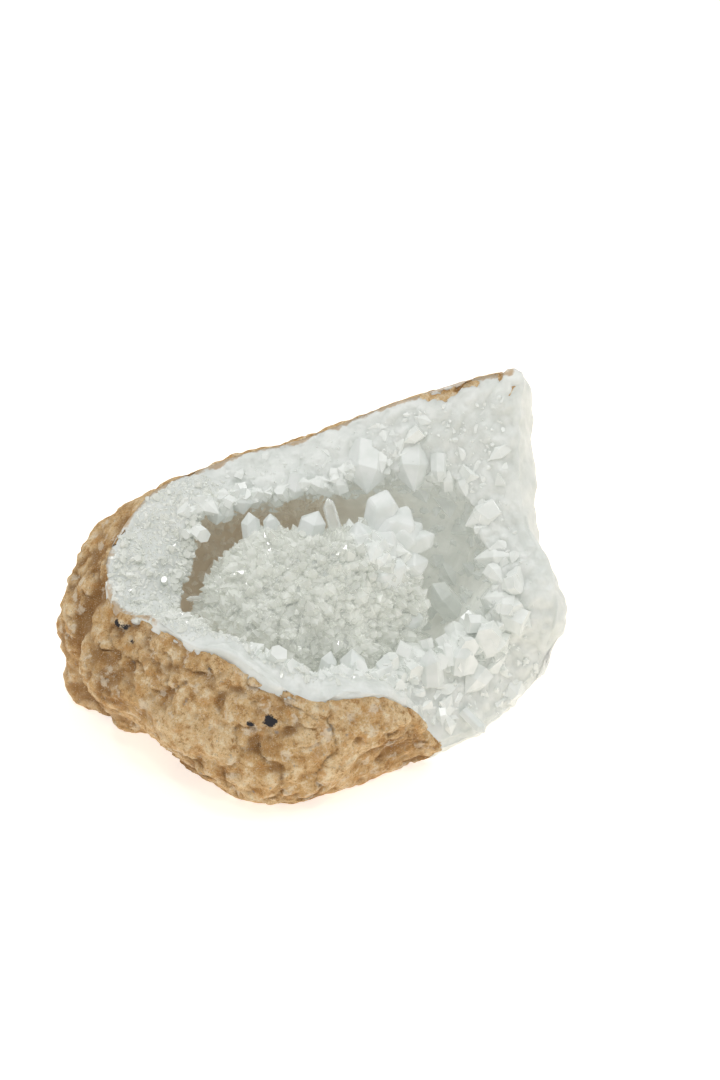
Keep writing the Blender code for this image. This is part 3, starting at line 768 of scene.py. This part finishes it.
def glassy(name, dark, light, roughness, glow, clear=0.0):
    """A finish for crystals: cloudy between two colours, and this rough, bright and clear.

    The glow stands for the light that quartz lets through to its shaded side.
    """
    finish, place = look(name)
    shade_with(finish, {
        "Base Color": place.noise(0.30, 2.0, 0.5).step(0.3, 0.7).tint(dark, light),
        "Roughness": roughness,
        "IOR": 1.54,
        "Transmission Weight": clear,
        "Emission Color": (*light, 1.0),
        "Emission Strength": glow,
    })
    return finish


druse_look = glassy("glassy druse", (0.730, 0.745, 0.690), (0.850, 0.865, 0.820), 0.05, 0.11, 0.45)
sugar_look = glassy("fine druse", (0.680, 0.700, 0.640), (0.780, 0.795, 0.745), 0.12, 0.06)
block_look = glassy("quartz blocks", (0.672, 0.698, 0.662), (0.764, 0.786, 0.752), 0.24, 0.125)
# Painted shade: the druse in the hollow is a darker, browner copy of the crystal finish, partly
# for its brown lining and partly for the shade in the hollow, and it glows more to lift that
# shade.
hollow_look = glassy("brown shaded druse", (0.500, 0.445, 0.340), (0.620, 0.560, 0.460), 0.30, 0.18)


def band(first, last):
    """True on the wall where v is between first and last."""
    return (wall_v > first) * (wall_v < last)


# The druse of the roof stays clear of the three big points that hang from its lip.
roof_points = np.array([(11.8, 20.0, 49.5), (22.8, 20.5, 49.5), (28.3, 20.5, 49.0)])
from_points = np.linalg.norm(wall[..., None, :] - roof_points, axis=-1).min(axis=-1)
off_points = ease(from_points, 2.4, 4.0)
near_lip = band(5.7, 6.5)
druse("left_wall_druse", wall, wall_normals,
      weight=window(wall_s, 12.4, 17.6) * (band(5.10, 6.0) | near_lip),
      spacing=0.75, width=(1.0, 1.9), rise=(0.10, 0.60), lean=0.40, seed=11,
      slot="drusy_quartz", finish=sugar_look)
druse("roof_druse", wall, wall_normals,
      weight=window(wall_s, 3.6, 12.8) * (0.6 * band(5.3, 6) + near_lip) * off_points,
      spacing=1.9, width=(2.0, 4.4), rise=(0.0, 0.9), lean=0.40, seed=12,
      slot="clear_quartz", finish=block_look)
druse("hollow_druse", wall, wall_normals,
      weight=window(wall_s, 9.6, 18.0) * band(6.4, 8.4),
      spacing=2.2, width=(2.2, 4.6), rise=(0.3, 1.8), lean=0.35, seed=13,
      slot="drusy_quartz", finish=hollow_look)
druse("right_wall_druse", wall, wall_normals,
      weight=window(wall_s, 27.4, 34.6) * (0.5 * band(5.35, 6) + near_lip),
      spacing=2.8, width=(2.8, 5.8), rise=(0.0, 0.9), lean=0.40, seed=14,
      slot="clear_quartz", finish=block_look)
druse("right_wall_blocks", wall, wall_normals,
      weight=window(wall_s, 28.6, 38.0) * band(6.35, 8.2),
      spacing=3.8, width=(4.0, 8.0), rise=(0.2, 3.4), lean=0.32, seed=17,
      slot="clear_quartz", finish=block_look)
druse("roof_lip_points", wall, wall_normals,
      weight=window(wall_s, 6.2, 13.4) * band(5.88, 6.12) * off_points,
      spacing=2.4, width=(2.2, 4.6), rise=(0.9, 2.8), lean=0.35, seed=18,
      slot="clear_quartz", finish=block_look)
druse("front_lip_druse", wall, wall_normals,
      weight=window(wall_s, 19.6, 27.5) * near_lip,
      spacing=1.5, width=(1.8, 4.4), rise=(0.4, 2.6), lean=0.40, seed=15,
      slot="clear_quartz", finish=block_look)
druse("front_band_druse", wall, wall_normals,
      weight=window(wall_s, 17.0, 24.5) * band(5.45, 6.0),
      spacing=1.0, width=(1.0, 2.4), rise=(0.0, 0.6), lean=0.45, seed=19,
      slot="drusy_quartz", finish=sugar_look)
bare_front = window(wall_s, 27.2, 29.2, 0.3) * (wall_v > 4.3) * (wall_v <= 5.1)
druse("front_mass_druse", wall, wall_normals,
      weight=bare_front + window(wall_s, 24.9, 29.0) * band(5.2, 6.0),
      spacing=2.4, width=(2.2, 6.4), rise=(0.0, 1.6), lean=0.45, seed=16,
      slot="clear_quartz", finish=block_look)

# ---- Mound of druse ----
# A rounded mass of quartz that grew up from the hollow's floor, covered all over with
# thousands of glassy points of 1 to 2 mm, and with coarser blocks round its cap at the right.
MOUND_CENTRE = np.array([-0.6, 3.0, 19.0])
MOUND_RADII = np.array([24.6, 18.0, 24.5])
MOUND_FOOT = 5.5  # height at which the mound is cut level, under the hollow's floor
CAP_CENTRE = (19.5, 9.0, 41.0)
MOUND_LUMPS = np.array([
    (18.0, 9.5, 41.0, 9.5, 7.0), (23.0, 4.0, 28.0, 8.0, 1.5), (-15.0, 10.0, 38.0, 8.0, 2.0),
    (-2.0, 8.0, 43.0, 6.0, -2.0), (-24.0, 0.0, 26.0, 7.0, 1.5), (3.0, -10.0, 36.0, 9.0, 1.0),
    (-10.0, -12.0, 28.0, 9.0, 1.0),
])


def mound_grid():
    """An ellipsoid, turn by rise, with lumps and crystal-like bumps, and its foot cut level."""
    turn = np.linspace(0, 2 * pi, 300, endpoint=False)
    rise = np.linspace(-pi / 2, pi / 2, 130)[:, None]
    level, up = np.cos(rise), np.sin(rise)
    way = np.stack(np.broadcast_arrays(level * np.cos(turn), level * np.sin(turn), up), axis=-1)
    grid = MOUND_CENTRE + way * MOUND_RADII
    height = lumps_at(grid, MOUND_LUMPS) + 0.5 * swell(grid * 1.6) - 0.6
    height += 1.3 * (faceted(grid, 5.0, 51) - 0.45) + 1.5 * rough(grid, 5.5, 71)
    grid = grid + way * height[..., None]
    grid[..., 2] = np.maximum(grid[..., 2], MOUND_FOOT)
    return grid


mound = mound_grid()
mound_normals = normals_of(mound)
add_piece("mound_core", grid_mesh("mound_core", mound, {}), quartz_look, "drusy_quartz",
          "druse_mound")
above_floor = ease(mound[..., 2], 9.0, 12.0)
from_cap = np.linalg.norm(mound - CAP_CENTRE, axis=-1)
off_cap = ease(from_cap, 7.5, 11.0)
druse("cap_blocks", mound, mound_normals,
      weight=above_floor * (1 - ease(from_cap, 9.0, 13.0)),
      spacing=2.3, width=(2.4, 6.0), rise=(0.6, 3.8), lean=0.32, seed=23,
      slot="drusy_quartz", finish=block_look)
druse("mound_druse", mound, mound_normals,
      weight=above_floor * off_cap,
      spacing=0.92, width=(1.1, 2.2), rise=(0.35, 1.7), lean=0.45, seed=21,
      slot="drusy_quartz", finish=druse_look)
druse("mound_points", mound, mound_normals,
      weight=ease(mound[..., 2], 18.0, 36.0) * off_cap,
      spacing=2.5, width=(1.6, 3.2), rise=(1.4, 3.6), lean=0.45, seed=22,
      slot="drusy_quartz", finish=druse_look)

# ---- Large crystals ----
# The quartz points big enough to be pieces of their own, grown out of the wall, the lip or the
# mound. Each one stands for a plain solid of the frame, with its place, length and width.

# Node; foot and tip x, y, z; width across. In mm.
LARGE = [
    ("roof_point_left", (12.6, 27.4, 52.4), (11.5, 17.2, 46.6), 9.0),
    ("roof_point_right", (22.6, 27.8, 52.6), (23.0, 18.2, 46.6), 8.8),
    ("roof_point_small", (28.4, 24.0, 52.8), (28.3, 19.2, 48.2), 3.6),
    ("roof_block_left", (-22.2, 16.6, 44.4), (-21.2, 12.6, 41.0), 4.4),
    ("roof_block_middle", (-16.0, 18.4, 46.6), (-15.2, 14.4, 42.8), 4.6),
    ("roof_block_right", (-3.0, 20.6, 49.4), (-4.2, 16.6, 45.4), 4.2),
    ("hanging_prism", (-19.0, 20.4, 44.4), (-19.3, 16.6, 39.4), 2.2),
    ("wall_crystal_high", (41.5, 17.0, 43.0), (34.4, 14.0, 39.5), 6.4),
    ("wall_crystal_middle", (44.5, 10.0, 34.0), (36.2, 8.8, 34.6), 7.0),
    ("wall_crystal_low", (45.0, 2.0, 27.0), (38.0, 1.4, 29.6), 6.0),
    ("wall_crystal_front", (40.5, -5.5, 20.0), (37.4, -4.2, 26.4), 5.4),
    ("wall_crystal_behind", (33.0, 17.0, 14.0), (26.6, 12.0, 25.6), 6.2),
    ("lip_crystal_left", (3.0, -20.2, 22.0), (4.6, -17.8, 28.2), 3.8),
    ("lip_crystal_middle", (9.4, -19.4, 20.5), (8.6, -16.4, 27.8), 5.6),
    ("lip_crystal_right", (15.4, -17.6, 19.0), (16.4, -15.0, 25.6), 4.4),
    ("lip_crystal_corner", (26.4, -13.6, 16.5), (25.8, -11.8, 25.0), 5.4),
    ("lip_crystal_end", (32.6, -10.4, 17.0), (33.4, -9.0, 24.0), 4.2),
    ("front_crystal", (33.6, -14.6, 9.6), (38.4, -19.2, 6.8), 2.6),
    ("clear_prism", (6.2, 9.4, 38.6), (3.2, 13.8, 47.8), 3.0),
    ("block_middle", (-2.0, 8.4, 36.0), (1.0, 12.6, 45.2), 6.0),
    ("block_left", (-13.0, 8.4, 37.0), (-14.2, 12.2, 45.0), 4.4),
    ("block_left_small", (-8.6, 8.0, 36.0), (-9.4, 12.0, 44.8), 3.6),
    ("block_right", (15.5, 0.5, 23.0), (25.0, -3.6, 26.8), 5.2),
    ("needle", (-19.0, 3.2, 28.2), (-28.4, 1.0, 29.0), 1.4),
    ("needle_short", (-19.0, 0.6, 25.4), (-27.6, -0.6, 26.0), 1.8),
]
# The cap's crystals: foot and tip x, y, z; width across.
CAP = [
    ((14.2, 9.4, 37.0), (16.4, 14.0, 50.2), 7.4), ((15.0, 8.0, 37.0), (21.6, 12.6, 46.6), 10.0),
    ((15.0, 7.0, 36.0), (24.8, 10.6, 43.4), 9.0), ((17.6, 7.0, 37.0), (27.6, 8.8, 41.4), 5.6),
    ((15.0, 5.0, 33.6), (26.4, 5.2, 36.6), 6.4), ((10.4, 7.0, 36.0), (10.2, 8.6, 45.4), 8.0),
    ((14.0, 5.0, 35.0), (18.2, 5.8, 44.4), 12.0), ((12.0, 2.0, 33.0), (14.0, -0.4, 42.0), 9.0),
    ((15.0, 1.0, 33.0), (21.4, -1.0, 39.0), 9.0),
]

crystal_look = glassy("white crystal", (0.640, 0.675, 0.640), (0.720, 0.745, 0.720), 0.34, 0.10)
clear_look = glassy("clear crystal", (0.800, 0.815, 0.780), (0.880, 0.890, 0.860), 0.05, 0.08, 0.7)


def large_crystals(name, table, seed, point, rounded, finish, *nodes):
    """Crystals from a table of feet, tips and widths, with edges rounded by this many mm.

    Each is drawn a little wider than the solid that it hides.
    """
    roots, tips, widths = (np.array([row[k] for row in table], float) for k in range(3))
    lengths = np.linalg.norm(tips - roots, axis=1)
    ways = (tips - roots) / lengths[:, None]
    points, faces = crystals(roots, ways, lengths, 1.12 * widths, seed, point)
    piece = add_piece(name, crystal_mesh(name, points, faces), finish, "clear_quartz", *nodes)
    rounding = piece.modifiers.new("worn edges", "BEVEL")
    rounding.width = rounded / 1000
    rounding.segments = 2


def finish_of(node):
    """Prisms and needles are clear, the wall's crystals like its blocks, the others white."""
    if "prism" in node or "needle" in node:
        return clear_look
    return block_look if "wall" in node else crystal_look


for seed, (node, *shape) in enumerate(LARGE):
    point = 0.42 if "block" in node else 0.55
    large_crystals(node + "_grown", [shape], seed, point, 0.15, finish_of(node), node)
large_crystals("cap_cluster", CAP, 40, 0.44, 0.6, crystal_look, "cap_crystals")
